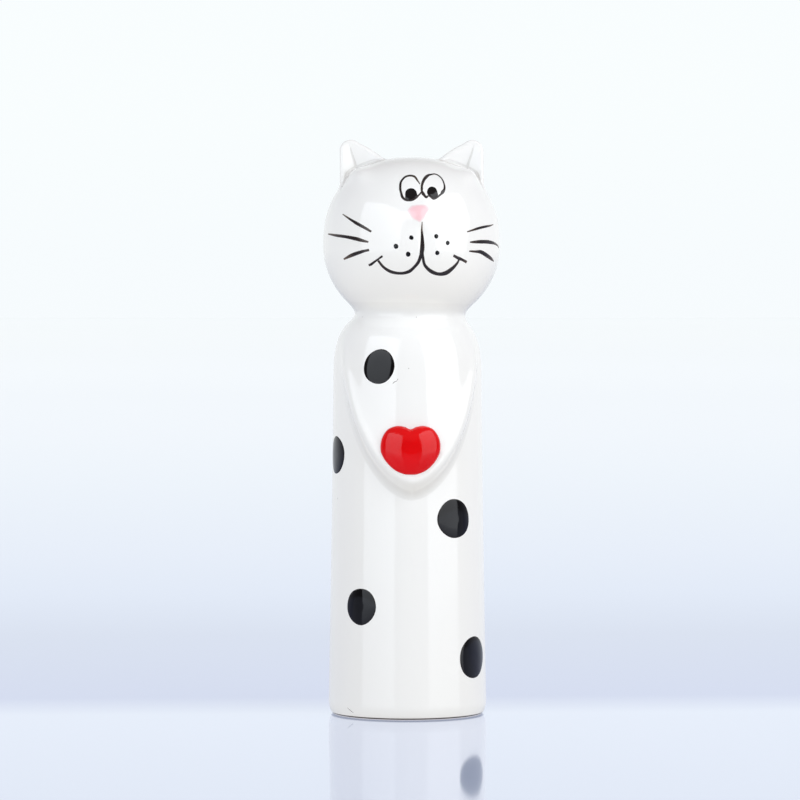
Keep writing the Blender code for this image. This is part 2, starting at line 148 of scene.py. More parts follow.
# The cup in an ear's front: the rim round it, and the crease down it where its two slopes meet.
EAR_RIM = 1.1
EAR_CREASE_LEAN = 0.25
EAR_CREASE_TOP = 2.3
EAR_CUP_SLOPE = 0.36
EAR_CUP_DEPTH = 3.4
EAR_CREASE_BLEND = 0.12
EAR_RIM_BLEND = 0.1
EAR_CUP_LEAST = 0.3
# Where an ear's root ends inside the head, and how far from the head's middle the ears begin.
EAR_FOOT_Z = 6.0
EAR_FOOT_X = 2.0

# Arms.
PAW_Z = 66.0
ARM_RELIEF = 4.1
ARM_FULL_Z = 68.0
ARM_TOP_Z = 114.0
ARM_EDGE_WIDTH = 4.9
ARM_EDGE_BLEND = 2.0
ARM_EDGE_RISE = 0.125
ARM_EDGE_POWER = 1.76
# The roll along an arm's edge, and where it fades out under the shoulder.
ROLL_HEIGHT = 0.7
ROLL_INSIDE = 3.4
ROLL_WIDTH = 2.3
ROLL_START = (-1.0, 1.5)
ROLL_TOP_Z = 112.0
ROLL_FULL_Z = 100.0
# The arms' upper edge, over the breast.
BREAST_Z = 88.0
SHOULDER_TOP_Z = 104.0
BREAST_POWER = 1.6

# Mesh: size of a cell on the column, above the paws and on the ears, and rounds of evening out.
CELL = 0.5
FINE_CELL = 0.41
FINE_Z = PAW_Z - 5.0
EAR_CELL = 0.36
EAR_ZONE_X = (8.0, EAR_TIP_X + EAR_ROUND + 1.0)
EAR_ZONE_Z = 15.0
GRID_MARGIN = 2.0
RELAX_ROUNDS = 4
# The least slope of the field that a step to the surface reckons with.
LEAST_SLOPE = 0.3

# How deep an arm reaches under the skin, the gap between pieces, and how the fans that close a seam dip.
ARM_WALL = 2.0
SEAM_GAP = 0.3
NECK_DIP = (0.0, 0.0, -0.2)
EAR_DIP = (-0.6, 0.0, -0.8)

# Paint: how deep it is rooted in the clay, steps between two given points of its outline, and the range of
# a random phase.
PAINT_ROOT = 0.25
CURVE_STEPS = 6
EYE_WHITE_STEPS = 4
FULL_TURN = 6.28
# How a stroke's section is made.
STROKE_SINK = 0.03
STROKE_COLUMNS = 7
STROKE_UNDERSIDE = (0.6, -0.6)
STROKE_FLATNESS = 6
# How flat a stroke gets where it narrows.
STROKE_LEAST = 0.3
# Where along a stroke its colour stops and starts to be thin, and how thin it is at its edges.
STROKE_THIN_START = 0.35
STROKE_THIN_END = 0.6
STROKE_THIN_EDGE = 0.6
# Rays that look for the clay under the paint: where they start, and how they near it.
RAY_START = 8.0
RAY_STEPS = 60
RAY_SHARE = 0.7

# Colours of the glaze, and of what shows through it.
GLAZE_WARM = (0.947, 0.937, 0.908)
GLAZE_COOL = (0.933, 0.931, 0.917)
# Painted shade: the grey laid into hollows and creases by how the surface bends.
GLAZE_SHADED_HOLLOW = (0.66, 0.64, 0.61)
GLAZE_THIN = (0.92, 0.905, 0.88)
GLAZE_PIT = (0.32, 0.25, 0.2)
BARE_CLAY = (0.72, 0.66, 0.58)
# Painted contact shadow: near black round the bottom of the foot ring.
FOOT_CONTACT_SHADOW = (0.05, 0.03, 0.022)
# Where hollows and creases get painted shade, and where the glaze runs thin: bend at which that starts and is
# full, and its share.
HOLLOW_SHADE = (-0.05, -0.7, 0.0, 0.55)
THINNING = (0.35, 1.6, 0.0, 0.35)
# Pinholes: how many to the metre, a hole's edge as a share of that, and how few patches have them.
PIT_SCALE = 170.0
PIT_EDGE = (0.05, 0.03)
PIT_PATCHES = 95.0
PIT_RARITY = (0.72, 0.74)
# Heights at which the painted contact shadow round the foot ring and its bare clay begin and are full, in
# metres.
FOOT_SHADOW_EDGE = (0.0006, 0.0004)
BARE_EDGE = (0.0001, 0.00003)
GLAZE_IOR = 1.52
GLAZE_ROUGHNESS = (0.045, 0.085)
BARE_ROUGHNESS = 0.75
# The part of a noise's values that is used, and how streaks thin a brushed colour.
NOISE_RANGE = (0.3, 0.7)
STREAKS = (0.25, 0.75, 0.5, 1.3)
# Enamels: name, deep tone, light tone, tone where it is thin, smoothest, roughest, strength as a mirror.
ENAMELS = {
    "black": (
        "black_enamel", (0.001, 0.001, 0.0015), (0.004, 0.003, 0.004), (0.05, 0.025, 0.017), 0.05, 0.11, 0.34,
    ),
    "brushed": (
        "brushed_black", (0.010, 0.008, 0.009), (0.024, 0.018, 0.019), (0.17, 0.12, 0.09), 0.06, 0.14, 0.4,
    ),
    "red": ("red_enamel", (0.65, 0.001, 0.002), (0.84, 0.003, 0.005), (0.36, 0.001, 0.002), 0.05, 0.10, 0.28),
    "pink": ("pink_enamel", (0.96, 0.585, 0.63), (0.97, 0.66, 0.69), (0.90, 0.885, 0.865), 0.05, 0.11, 0.5),
}


# ---- the clay, as a distance field


def positive(value):
    return np.maximum(value, 0.0)


def smooth_min(a, b, blend):
    near = positive(1.0 - np.abs(a - b) / blend)
    return np.minimum(a, b) - near * near * blend / 4.0


def smooth_max(a, b, blend):
    return -smooth_min(-a, -b, blend)


def smooth_step(low, high, value):
    t = np.clip((value - low) / (high - low), 0.0, 1.0)
    return t * t * (3.0 - 2.0 * t)


def gauss(across, up, swelling):
    x, z, height, spread = swelling
    return height * np.exp(-((across - x) ** 2 + (up - z) ** 2) / (2.0 * spread**2))


def head_distance(x, y, z):
    """Distance to the head, from a point given from its centre."""
    upper = smooth_step(-HEAD_CHANGE, HEAD_CHANGE, z)
    height = HEAD_LOWER + (HEAD_UPPER - HEAD_LOWER) * upper
    power = HEAD_LOWER_POWER + (HEAD_UPPER_POWER - HEAD_LOWER_POWER) * upper
    flat = np.sqrt((x / HEAD_HALF_WIDTH) ** 2 + (y / HEAD_HALF_DEPTH) ** 2)
    ratio = (flat**power + np.abs(z / height) ** power) ** (1.0 / power)
    radius = np.sqrt(x * x + y * y + z * z)
    across = x * cos(FACE_TURN) + y * sin(FACE_TURN)
    front = smooth_step(FACE_BACK_Y, FACE_FULL_Y, y)
    swell = sum(gauss(across, z, swelling) for swelling in SWELLINGS)
    low_end = smooth_step(GROOVE_LOW - GROOVE_FADE, GROOVE_LOW + GROOVE_FADE, z)
    high_end = smooth_step(GROOVE_HIGH + GROOVE_FADE, GROOVE_HIGH - GROOVE_FADE, z)
    swell = swell - GROOVE_DEPTH * (low_end * high_end) * np.exp(-(((across - GROOVE_X) / GROOVE_WIDTH) ** 2))
    return radius - radius / np.maximum(ratio, HEAD_LEAST_RATIO) - swell * front


def ear_distance(x, y, z, side):
    """Distance to one ear: a rounded wedge, thin at the tip, with a cup folded into its front."""
    x = side * x
    down = EAR_TIP_Z - z
    from_outer = x - EAR_TIP_X
    from_inner = (EAR_TIP_X - x) * sin(EAR_SLOPE) - down * cos(EAR_SLOPE)
    run = (EAR_TIP_X - x) * cos(EAR_SLOPE) + down * sin(EAR_SLOPE)
    swell = positive(1.0 - ((run - EAR_SWELL_AT) / EAR_SWELL_REACH) ** 2)
    from_inner = from_inner - EAR_SWELL * swell
    corner = np.hypot(from_outer, down)
    at_tip = (down < 0.0) & (from_outer - down * tan(EAR_SLOPE) > 0.0)
    outline = np.where(at_tip, corner, np.maximum(from_outer, from_inner)) - EAR_ROUND
    along = (z - EAR_ROOT_Z) / (EAR_TIP_Z + EAR_ROUND - EAR_ROOT_Z)
    thickness = EAR_ROOT_THICKNESS + (EAR_TIP_THICKNESS - EAR_ROOT_THICKNESS) * along
    rim = EAR_ROUND - EAR_RIM
    crease = EAR_CREASE_LEAN * down
    outer_share = (rim - from_outer) / np.maximum(rim + crease, EAR_CUP_LEAST)
    inner_reach = rim - crease * sin(EAR_SLOPE) + down * cos(EAR_SLOPE)
    inner_share = (rim - from_inner) / np.maximum(inner_reach, EAR_CUP_LEAST)
    deepest = np.clip(EAR_CUP_SLOPE * (down + EAR_CREASE_TOP), 0.0, EAR_CUP_DEPTH)
    slopes = smooth_min(outer_share, inner_share, EAR_CREASE_BLEND)
    cup = deepest * smooth_max(slopes, 0.0, EAR_RIM_BLEND)
    front = EAR_BACK - thickness / 2 + cup - y
    back = y - EAR_BACK - thickness / 2
    solid = smooth_max(outline, front, EAR_FRONT_BLEND)
    solid = smooth_max(solid, back, EAR_BACK_BLEND)
    return np.maximum(solid, EAR_FOOT_Z - z)


def arm_edge_z(around):
    return PAW_Z + ARM_EDGE_RISE * np.abs(around) ** ARM_EDGE_POWER


def arm_relief(around, z):
    """How far the arms and the chest between them stand out of the column."""
    slope = ARM_EDGE_RISE * ARM_EDGE_POWER * np.abs(around) ** (ARM_EDGE_POWER - 1.0)
    inside = (z - arm_edge_z(around)) / np.sqrt(1.0 + slope**2)
    share = np.clip(smooth_max(inside, 0.0, ARM_EDGE_BLEND) / ARM_EDGE_WIDTH, 0.0, 1.0)
    height = ARM_RELIEF * smooth_step(ARM_TOP_Z, ARM_FULL_Z, z)
    ridge = np.exp(-(((inside - ROLL_INSIDE) / ROLL_WIDTH) ** 2))
    roll = ROLL_HEIGHT * smooth_step(ROLL_TOP_Z, ROLL_FULL_Z, z) * ridge
    return height * (1.0 - (1.0 - share) ** 2) + roll * smooth_step(*ROLL_START, inside)


def column_radius(z):
    taper = (HIP_RADIUS - SHOULDER_RADIUS) * positive(1.0 - z / SHOULDER_Z) ** TAPER_POWER
    drawn_in = FOOT_DRAW * positive(1.0 - z / FOOT_ROUNDING) ** 2
    return SHOULDER_RADIUS + taper - drawn_in


def body_distance(x, y, z):
    """Distance to the column with its rounded shoulders and the arms in relief."""
    radius = np.sqrt(x * x + y * y)
    around = np.arctan2(x, -y) * SHOULDER_RADIUS
    widening = column_radius(z) - SHOULDER_RADIUS + arm_relief(around, z)
    inner = SHOULDER_RADIUS - SHOULDER_RUN
    out = np.clip((radius - widening - inner) / SHOULDER_RUN, 1e-6, None)
    up = positive((z - SHOULDER_Z) / SHOULDER_RISE)
    ratio = (out**SHOULDER_POWER + up**SHOULDER_POWER) ** (1.0 / SHOULDER_POWER)
    steep = ratio ** (1.0 - SHOULDER_POWER)
    pull = np.hypot(
        steep * out ** (SHOULDER_POWER - 1.0) / SHOULDER_RUN,
        steep * up ** (SHOULDER_POWER - 1.0) / SHOULDER_RISE,
    )
    return (ratio - 1.0) / np.maximum(pull, 1.0 / SHOULDER_RISE)


def underside_hollow(radius, z):
    """Distance to what is missing below: the recess, the vent and the hollow over it."""
    recess = np.maximum(radius - RECESS_RADIUS, z - RECESS_DEPTH)
    vent = np.maximum(radius - VENT_RADIUS, z - HOLLOW_Z)
    hollow = np.sqrt(radius**2 + (z - HOLLOW_Z) ** 2) - HOLLOW_RADIUS
    return np.minimum(recess, smooth_min(vent, hollow, VENT_BLEND))


def clay(points):
    """Distance to the whole clay form."""
    x, y, z = (points[..., k] for k in range(3))
    y = y - AXIS_Y
    body = body_distance(x - BODY_X, y, z)
    head = head_distance(x - HEAD_X, y, z - HEAD_Z)
    for _, side in EARS:
        ear = ear_distance(x - HEAD_X, y, z - HEAD_Z, side)
        head = smooth_min(head, ear, EAR_BLEND)
    form = smooth_min(body, head, NECK_BLEND)
    form = smooth_max(form, -z, FOOT_BLEND)
    radius = np.hypot(x - BODY_X, y)
    return smooth_max(form, -underside_hollow(radius, z), FOOT_BLEND)


def clay_normal(points, reach=0.02):
    """Direction in which the distance grows, and how fast it does."""
    slopes = [clay(points + step) - clay(points - step) for step in reach * np.eye(3)]
    slopes = np.stack(slopes, axis=-1) / (2.0 * reach)
    size = np.linalg.norm(slopes, axis=-1, keepdims=True)
    return slopes / np.maximum(size, 1e-9), size[..., 0]


def clay_bend(points, reach=0.35):
    """How the surface bends: above 0 on a ridge, below 0 in a hollow, in 1/mm."""
    total = -6.0 * clay(points)
    for step in reach * np.eye(3):
        total = total + clay(points + step) + clay(points - step)
    return total / reach**2


def onto_clay(points, rounds=4):
    """Moves points to the surface along the steepest way."""
    for _ in range(rounds):
        normal, size = clay_normal(points)
        move = np.clip(clay(points) / np.maximum(size, LEAST_SLOPE), -CELL, CELL)
        points = points - normal * move[..., None]
    return points


# ---- the field, as a mesh


def stepped(low, high, size_at):
    """Grid lines from low to high, where size_at gives the step at each of them."""
    lines = [low]
    while lines[-1] < high:
        lines.append(lines[-1] + size_at(lines[-1]))
    return np.array(lines)


def grid_axes():
    low = np.array(cad_box[0]) / MM - GRID_MARGIN
    high = np.array(cad_box[1]) / MM + GRID_MARGIN

    def across(x):
        return EAR_CELL if EAR_ZONE_X[0] < abs(x - HEAD_X) < EAR_ZONE_X[1] else CELL

    def deep(y):
        return FINE_CELL

    def up(z):
        if z > HEAD_Z + EAR_ZONE_Z:
            return EAR_CELL
        return FINE_CELL if z > FINE_Z else CELL

    return [stepped(*line) for line in zip(low, high, (across, deep, up))]


def polygonise(axes):
    """Triangles from a grid: a point for each cell that the surface crosses, two faces for each edge."""
    solid = np.zeros([len(axis) for axis in axes], bool)
    gx, gy = np.meshgrid(axes[0], axes[1], indexing="ij")
    for k, z in enumerate(axes[2]):
        layer = np.stack([gx, gy, np.full_like(gx, z)], axis=-1)
        solid[:, :, k] = clay(layer) < 0.0
    cells = [n - 1 for n in solid.shape]
    count = np.zeros(cells, np.int8)
    for i in (0, 1):
        for j in (0, 1):
            for k in (0, 1):
                count += solid[i : i + cells[0], j : j + cells[1], k : k + cells[2]]
    crossed = (count > 0) & (count < 8)
    number = np.full(cells, -1, np.int64)
    number[crossed] = np.arange(crossed.sum())
    where = np.argwhere(crossed)
    middles = [(axis[:-1] + axis[1:]) / 2 for axis in axes]
    points = np.stack([middles[k][where[:, k]] for k in range(3)], axis=-1)
    triangles = []
    for axis in range(3):
        others = [k for k in range(3) if k != axis]
        ahead = np.moveaxis(solid, (axis, *others), (0, 1, 2))
        cell = np.moveaxis(number, (axis, *others), (0, 1, 2))
        start, end = ahead[:-1, 1:-1, 1:-1], ahead[1:, 1:-1, 1:-1]
        corners = (cell[:, :-1, :-1], cell[:, 1:, :-1], cell[:, 1:, 1:], cell[:, :-1, 1:])
        quads = np.stack(corners, axis=-1)
        leaving, entering = quads[start & ~end], quads[~start & end]
        if axis == 1:
            leaving, entering = entering, leaving
        for quad in (leaving, entering[:, ::-1]):
            triangles += [quad[:, [0, 1, 2]], quad[:, [0, 2, 3]]]
    return points, np.concatenate(triangles)


def directed_edges(triangles):
    return np.concatenate([triangles[:, [0, 1]], triangles[:, [1, 2]], triangles[:, [2, 0]]])


def relaxed(points, triangles):
    """Evens out the mesh along the surface."""
    edges = directed_edges(triangles)
    count = np.bincount(edges[:, 0], minlength=len(points))[:, None]
    for _ in range(RELAX_ROUNDS):
        ends = points[edges[:, 1]]
        total = np.stack([np.bincount(edges[:, 0], ends[:, k], len(points)) for k in range(3)], axis=-1)
        points = onto_clay(points + 0.5 * (total / count - points), 1)
    return onto_clay(points)


def ear_share(points, side):
    """Above 0 on the ear's side of the crease round it."""
    x, y, z = points[:, 0] - HEAD_X, points[:, 1] - AXIS_Y, points[:, 2] - HEAD_Z
    return head_distance(x, y, z) - ear_distance(x, y, z, side)


def arms_share(points):
    """Above 0 on the arms, which taper off where their lower edge meets the line over the breast."""
    around = np.arctan2(points[:, 0] - BODY_X, AXIS_Y - points[:, 1]) * SHOULDER_RADIUS
    reach = ((SHOULDER_TOP_Z - PAW_Z) / ARM_EDGE_RISE) ** (1.0 / ARM_EDGE_POWER)
    breast = BREAST_Z + (SHOULDER_TOP_Z - BREAST_Z) * (np.abs(around) / reach) ** BREAST_POWER
    return np.minimum(points[:, 2] - arm_edge_z(around), breast - points[:, 2])


def shared(edges, others):
    """Which edges are among the others the other way round."""
    size = max(edges.max(), others.max()) + 1
    return np.isin(edges[:, 0] * size + edges[:, 1], others[:, 1] * size + others[:, 0])


class Skin:
    """The clay's surface, cut into pieces, with what closes each piece under the surface."""

    def __init__(self):
        points, self.triangles = polygonise(grid_axes())
        self.points = relaxed(points, self.triangles)
        self.labels = np.full(len(self.triangles), "body_shell", dtype="<U12")
        self.divide("body_shell", "head_shell", self.points[:, 2] - NECK_Z)
        for label, side in EARS:
            x, _, z = self.middles()
            near = (side * (x - HEAD_X) > EAR_FOOT_X) & (z > HEAD_Z + EAR_FOOT_Z)
            self.divide("head_shell", label, ear_share(self.points, side), near)
        in_front = self.middles()[1] < AXIS_Y
        self.divide("body_shell", "arm_left", arms_share(self.points), in_front)
        self.divide("arm_left", "arm_right", self.points[:, 0] - BODY_X)
        self.points = onto_clay(self.points, 2)
        self.normals = clay_normal(self.points)[0]
        self.bend = clay_bend(self.points)
        self.faces = {name: self.triangles[self.labels == name] for name in sorted(set(self.labels))}

    def middles(self):
        return self.points[self.triangles].mean(axis=1).T

    def divide(self, piece, label, values, where=True):
        """Splits a piece along the line where values is 0, and labels its triangles where it is above."""
        allowed = (self.labels == piece) & where
        low = values < 0.0
        sides = low[self.triangles]
        mixed = sides.any(axis=1) & ~sides.all(axis=1) & allowed
        split = self.triangles[mixed]
        sides = sides[mixed]
        lone = np.where(sides.sum(axis=1) == 1, sides.argmax(axis=1), (~sides).argmax(axis=1))
        rows = np.arange(len(split))
        a, b, c = (split[rows, (lone + k) % 3] for k in range(3))
        pairs = np.sort(np.concatenate([np.stack([a, b], axis=1), np.stack([a, c], axis=1)]), axis=1)
        unique, number = np.unique(pairs, axis=0, return_inverse=True)
        p, q = len(self.points) + number.reshape(2, -1)
        one, two = unique.T
        share = values[one] / (values[one] - values[two])
        added = self.points[one] + (self.points[two] - self.points[one]) * share[:, None]
        parts = [np.stack(corners, axis=1) for corners in ((a, p, q), (p, b, c), (p, c, q))]
        kept = self.triangles[~mixed]
        above = np.concatenate([(~low[kept]).all(axis=1) & allowed[~mixed], ~low[a], low[a], low[a]])
        self.points = np.vstack([self.points, added])
        self.triangles = np.concatenate([kept, *parts])
        self.labels = np.concatenate([self.labels[~mixed], *([self.labels[mixed]] * 3)])
        self.labels[above] = label

    def add_points(self, points, normals):
        """Adds hidden points and returns the number of the first."""
        first = len(self.points)
        self.points = np.vstack([self.points, points])
        self.normals = np.vstack([self.normals, normals])
        self.bend = np.concatenate([self.bend, np.zeros(len(points))])
        return first

    def cap(self, name, edges, centre):
        """Closes a seam with a fan to a point under the surface."""
        tip = self.add_points(np.array([centre]), np.array([[0.0, 0.0, 1.0]]))
        fan = np.stack([edges[:, 1], edges[:, 0], np.full(len(edges), tip)], axis=1)
        self.faces[name] = np.concatenate([self.faces[name], fan])

    def part_at(self, name, other, inward):
        """Closes both pieces where they meet, a gap apart, with fans that dip along inward."""
        edges = directed_edges(self.faces[name])
        edges = edges[shared(edges, directed_edges(self.faces[other]))]
        middle = self.points[edges[:, 0]].mean(axis=0)
        self.cap(name, edges, middle + inward)
        self.cap(other, edges[:, ::-1], middle + inward * (1.0 + SEAM_GAP / np.linalg.norm(inward)))

    def under(self, triangles, depth):
        """The same faces, deeper under the surface, and the wall from their rim down to them."""
        used, local = np.unique(triangles, return_inverse=True)
        first = self.add_points(self.points[used] - self.normals[used] * depth, self.normals[used])
        sunk = first + local.reshape(triangles.shape)
        lower = dict(zip(used.tolist(), range(first, first + len(used))))
        wall = []
        edges = directed_edges(triangles)
        for a, b in edges[~shared(edges, edges)].tolist():
            wall += [(a, b, lower[b]), (a, lower[b], lower[a])]
        return sunk, np.array(wall)


def make_clay():
    skin = Skin()
    skin.part_at("body_shell", "head_shell", np.array(NECK_DIP))
    for name, side in EARS:
        skin.part_at(name, "head_shell", np.array(EAR_DIP) * (side, 1, 1))
    arms = np.concatenate([skin.faces["arm_left"], skin.faces["arm_right"]])
    pocket, wall = skin.under(arms, ARM_WALL + SEAM_GAP)
    skin.faces["body_shell"] = np.concatenate([skin.faces["body_shell"], pocket, wall])
    for name in ("arm_left", "arm_right"):
        back, wall = skin.under(skin.faces[name], ARM_WALL)
        skin.faces[name] = np.concatenate([skin.faces[name], back[:, ::-1], wall[:, ::-1]])
    for name, triangles in skin.faces.items():
        used, local = np.unique(triangles, return_inverse=True)
        faces = local.reshape(triangles.shape)
        points, normals = skin.points[used], skin.normals[used]
        piece = new_piece("glazed_" + name, points, faces.tolist(), GLAZES["white"], normals)
        set_values(piece, "bend", skin.bend[used])
        stand_for(piece, "white_glaze", name)


def new_object(name, data):
    thing = bpy.data.objects.new(name, data)
    bpy.context.scene.collection.objects.link(thing)
    return thing


def new_piece(name, points, faces, surface, normals=None):
    """A smooth object from points in millimetres."""
    mesh = bpy.data.meshes.new(name)
    mesh.from_pydata((np.asarray(points) * MM).tolist(), [], [tuple(face) for face in faces])
    mesh.shade_smooth()
    if normals is not None:
        mesh.normals_split_custom_set_from_vertices(normals.tolist())
    mesh.materials.append(surface)
    return new_object(name, mesh)


def set_values(piece, name, values):
    """Gives each point of a piece a value that its material can read."""
    layer = piece.data.attributes.new(name, "FLOAT", "POINT")
    layer.data.foreach_set("value", np.asarray(values, np.float32))


def stand_for(piece, slot, *nodes):
    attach(piece, "root")
    if nodes:
        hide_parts(*nodes)


# ---- where paint goes


def strike(origins, direction):
    """Where rays first meet the clay."""
    reach = np.zeros(len(origins))
    for _ in range(RAY_STEPS):
        reach += RAY_SHARE * clay(origins + reach[:, None] * direction)
    return origins + reach[:, None] * direction


def heading(angle):
    """Directions forwards and to the right, for what is turned by an angle from -Y towards +X."""
    return np.array([sin(angle), -cos(angle), 0.0]), np.array([cos(angle), sin(angle), 0.0])


def on_face(across, up):
    """Points of the face as its own front shows them, from the head's centre, with their normals."""
    out, side = heading(FACE_TURN)
    centre = np.array([HEAD_X, AXIS_Y, HEAD_Z])
    start = centre + across[:, None] * side + up[:, None] * np.array([0.0, 0.0, 1.0])
    points = strike(start + out * (HEAD_HALF_DEPTH + RAY_START), -out)
    return points, clay_normal(points)[0]


def on_body(degrees, height):
    """The same for a place on the column: across is measured round it and up along it."""

    def hit(angle, up):
        out = np.stack([np.sin(angle), -np.cos(angle), np.zeros(len(angle))], axis=-1)
        axis = np.stack([np.full(len(angle), BODY_X), np.full(len(angle), AXIS_Y), height + up], axis=-1)
        return axis, strike(axis + out * (HIP_RADIUS + RAY_START), -out)

    middle = radians(degrees)
    axis, point = hit(np.array([middle]), np.zeros(1))
    radius = np.linalg.norm(point - axis)

    def place(across, up):
        points = hit(middle + across / radius, up)[1]
        return points, clay_normal(points)[0]

    return place


def spline(points, steps, closed=False):
    """A smooth curve through a few points."""
    points = np.array(points, float)
    if closed:
        ends = np.concatenate([points[-1:], points, points[:2]])
    else:
        ends = np.concatenate([2 * points[:1] - points[1:2], points, 2 * points[-1:] - points[-2:-1]])
    curve = []
    for a, b, c, d in zip(ends, ends[1:], ends[2:], ends[3:]):
        for t in np.arange(steps) / steps:
            linear = c - a
            square = 2 * a - 5 * b + 4 * c - d
            cube = 3 * b - a - 3 * c + d
            curve.append(0.5 * (2 * b + linear * t + square * t**2 + cube * t**3))
    if not closed:
        curve.append(points[-1])
    return np.array(curve)


def ring_faces(rings, count):
    """Quads between one ring of points and the next."""
    faces = []
    for i in range(rings - 1):
        for j in range(count):
            near, far = i * count, (i + 1) * count
            faces.append((near + j, near + (j + 1) % count, far + (j + 1) % count, far + j))
    return faces


def lifted(place, flat, lift, base):
    """Points over the clay, by lift and by what stands under the paint there."""
    points, normals = place(flat[:, 0], flat[:, 1])
    if base is not None:
        lift = lift + base(flat[:, 0], flat[:, 1])
    return points + normals * lift[:, None]


def new_paint(name, points, faces, surface, thinness):
    """A closed piece, its faces turned outwards, with how thin the colour is at each point, from 0 to 1."""
    piece = new_piece(name, points, faces, surface)
    mesh = bmesh.new()
    mesh.from_mesh(piece.data)
    bmesh.ops.recalc_face_normals(mesh, faces=mesh.faces)
    mesh.to_mesh(piece.data)
    mesh.free()
    set_values(piece, "thin", thinness)
    return piece


def rounded(outline, rounds=40):
    """The outline with its corners and notches evened out."""
    for _ in range(rounds):
        outline = (np.roll(outline, 1, axis=0) + 2.0 * outline + np.roll(outline, -1, axis=0)) / 4.0
    return outline


def make_pad(name, outline, place, section, surface, base=None, thin=np.zeros_like):
    """A closed pad of glaze. section pairs a share of the way out from the middle with a height.

    base adds to the heights by the place, and thin gives how thin the colour is by the share.
    """
    centre = outline.mean(axis=0)
    soft = rounded(outline) - centre
    sharp = outline - centre
    low = min(height for _, height in section) - PAINT_ROOT
    under = [(share, low) for share, _ in section[::-2]]
    rings = [*section, *under]
    flat = np.concatenate([centre + share * (soft + (sharp - soft) * share**4) for share, _ in rings])
    count = len(outline)
    points = lifted(place, flat, np.repeat([height for _, height in rings], count), base)
    ends = [points[:count].mean(axis=0), points[-count:].mean(axis=0)]
    faces = ring_faces(len(rings), count)
    last = (len(rings) - 1) * count
    top, bottom = len(points), len(points) + 1
    faces += [(top, (j + 1) % count, j) for j in range(count)]
    faces += [(bottom, last + j, last + (j + 1) % count) for j in range(count)]
    shares = np.repeat([share for share, _ in rings], count)
    return new_paint(name, np.vstack([points, ends]), faces, surface, [*thin(shares), 0.0, 0.0])


def lens(height, rings, flatness=2.0, spread=0.55, sink=0.06):
    """A pad's section, from the middle out: it dips into the clay at its edge."""
    shares = np.linspace(0.0, 1.0, rings + 1)[1:] ** spread
    heights = (height + sink) * np.sqrt(positive(1.0 - shares**flatness)) - sink
    return [*zip(shares.tolist(), heights.tolist())]


def oval(across, up, half_width, half_height, count, wobble, phase, lean=0.0):
    """A hand-drawn oval that leans to the right by an angle; wobble is how uneven it is."""
    turn = np.linspace(0.0, 2.0 * pi, count, endpoint=False)
    waves = np.sin(2 * turn + phase) + 0.7 * np.sin(3 * turn + 2.3 * phase) + 0.4 * np.sin(5 * turn + phase)
    uneven = 1.0 + wobble * waves
    x = half_width * uneven * np.sin(turn)
    z = half_height * uneven * np.cos(turn)
    turned = (x * cos(lean) + z * sin(lean), z * cos(lean) - x * sin(lean))
    return np.stack([across + turned[0], up + turned[1]], axis=-1)


def make_stroke(name, path, widths, place, height, thin_ends, base=None):
    """A closed ribbon of brushed colour along a path; thin_ends is how thin it is at the start and end."""
    steps = np.linspace(0.0, 1.0, len(path))
    tangent = np.gradient(path, axis=0)
    tangent = tangent / np.linalg.norm(tangent, axis=1, keepdims=True)
    side = np.stack([tangent[:, 1], -tangent[:, 0]], axis=-1)
    top = np.linspace(-1.0, 1.0, STROKE_COLUMNS)
    across = np.concatenate([top, STROKE_UNDERSIDE])
    domed = (height + STROKE_SINK) * (1.0 - top**STROKE_FLATNESS) - STROKE_SINK
    lifts = np.concatenate([domed, [-PAINT_ROOT] * 2])
    count = len(across)
    flat = path[:, None, :] + side[:, None, :] * (across[None, :, None] * widths[:, None, None] / 2)
    fullness = np.clip(widths / (0.5 * widths.max()), STROKE_LEAST, 1.0)
    points = lifted(place, flat.reshape(-1, 2), (lifts[None, :] * fullness[:, None]).reshape(-1), base)
    faces = ring_faces(len(path), count)
    faces += [tuple(range(count))[::-1], tuple(range((len(path) - 1) * count, len(path) * count))]
    start = thin_ends[0] * positive(1.0 - steps / STROKE_THIN_START)
    end = thin_ends[1] * positive((steps - STROKE_THIN_END) / (1.0 - STROKE_THIN_END))
    along = start + end
    edge = STROKE_THIN_EDGE * np.abs(across) ** 4
    thinness = np.clip(along[:, None] + edge[None, :], 0.0, 1.0)
    return new_paint(name, points, faces, GLAZES["brushed"], thinness.reshape(-1))


# ---- materials


def set_inputs(node, **values):
    """Sets plain values; an underscore stands for the space in an input's name."""
    for name, value in values.items():
        node.inputs[name.replace("_", " ")].default_value = value


class Graph:
    """A node tree in the making, with short ways to add and join nodes."""

    def __init__(self, owner):
        owner.use_nodes = True
        self.nodes = owner.node_tree.nodes
        self.links = owner.node_tree.links

    def add(self, kind, **settings):
        node = self.nodes.new("ShaderNode" + kind)
        for key, value in settings.items():
            setattr(node, key, value)
        return node

    def join(self, source, target):
        self.links.new(source, target)

    def split(self, vector):
        """The three parts of a vector, by their letters."""
        node = self.add("SeparateXYZ")
        self.join(vector, node.inputs[0])
        return node.outputs

    def remap(self, value, low, high, to_low=0.0, to_high=1.0, shape="LINEAR"):
        node = self.add("MapRange", interpolation_type=shape)
        self.join(value, node.inputs["Value"])
        set_inputs(node, From_Min=low, From_Max=high, To_Min=to_low, To_Max=to_high)
        return node.outputs["Result"]

    def mix(self, factor, a, b):
        """Mixes two colours, each a socket or a tuple."""
        node = self.add("Mix", data_type="RGBA")
        self.join(factor, node.inputs["Factor"])
        for socket, value in ((node.inputs[6], a), (node.inputs[7], b)):
            if isinstance(value, tuple):
                socket.default_value = (*value, 1.0)
            else:
                self.join(value, socket)
        return node.outputs[2]


